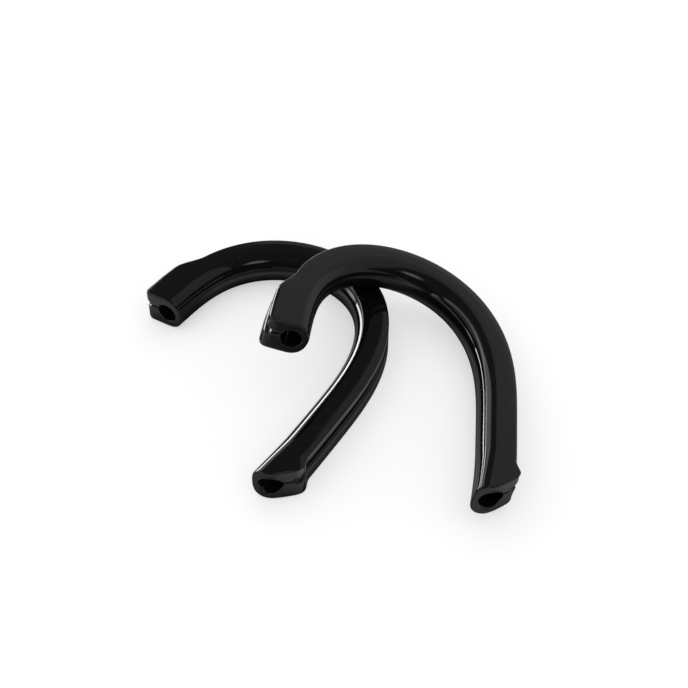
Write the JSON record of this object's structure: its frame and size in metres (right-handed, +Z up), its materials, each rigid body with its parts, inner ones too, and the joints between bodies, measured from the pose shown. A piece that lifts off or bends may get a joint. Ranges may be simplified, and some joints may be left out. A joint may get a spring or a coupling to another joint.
{
  "type": "skate blade guards",
  "caption": "One-piece soft PVC skate blade guards, sprung into a horseshoe off the skate, with a bore, a slit and flared lips that take the blade edge.",
  "frame": {"origin": "centre of the pair's footprint, on the floor", "axes": "+Z up from the floor; -Y is the side the open ends face; +X points from the back guard towards the front guard"},
  "size_m": [0.2056, 0.1914, 0.0653],
  "materials": {
    "back_guard_pvc": "high-gloss moulded soft PVC",
    "front_guard_pvc": "high-gloss moulded soft PVC"
  },
  "bodies": {
    "back": {"back_guard": "back_guard_pvc"},
    "front": {"front_guard": "front_guard_pvc"}
  },
  "joints": [
    {"name": "front_lift", "type": "slide", "parent": "back", "child": "front", "axis": [0, 0, 1], "range_m": [0, 0.06]}
  ]
}
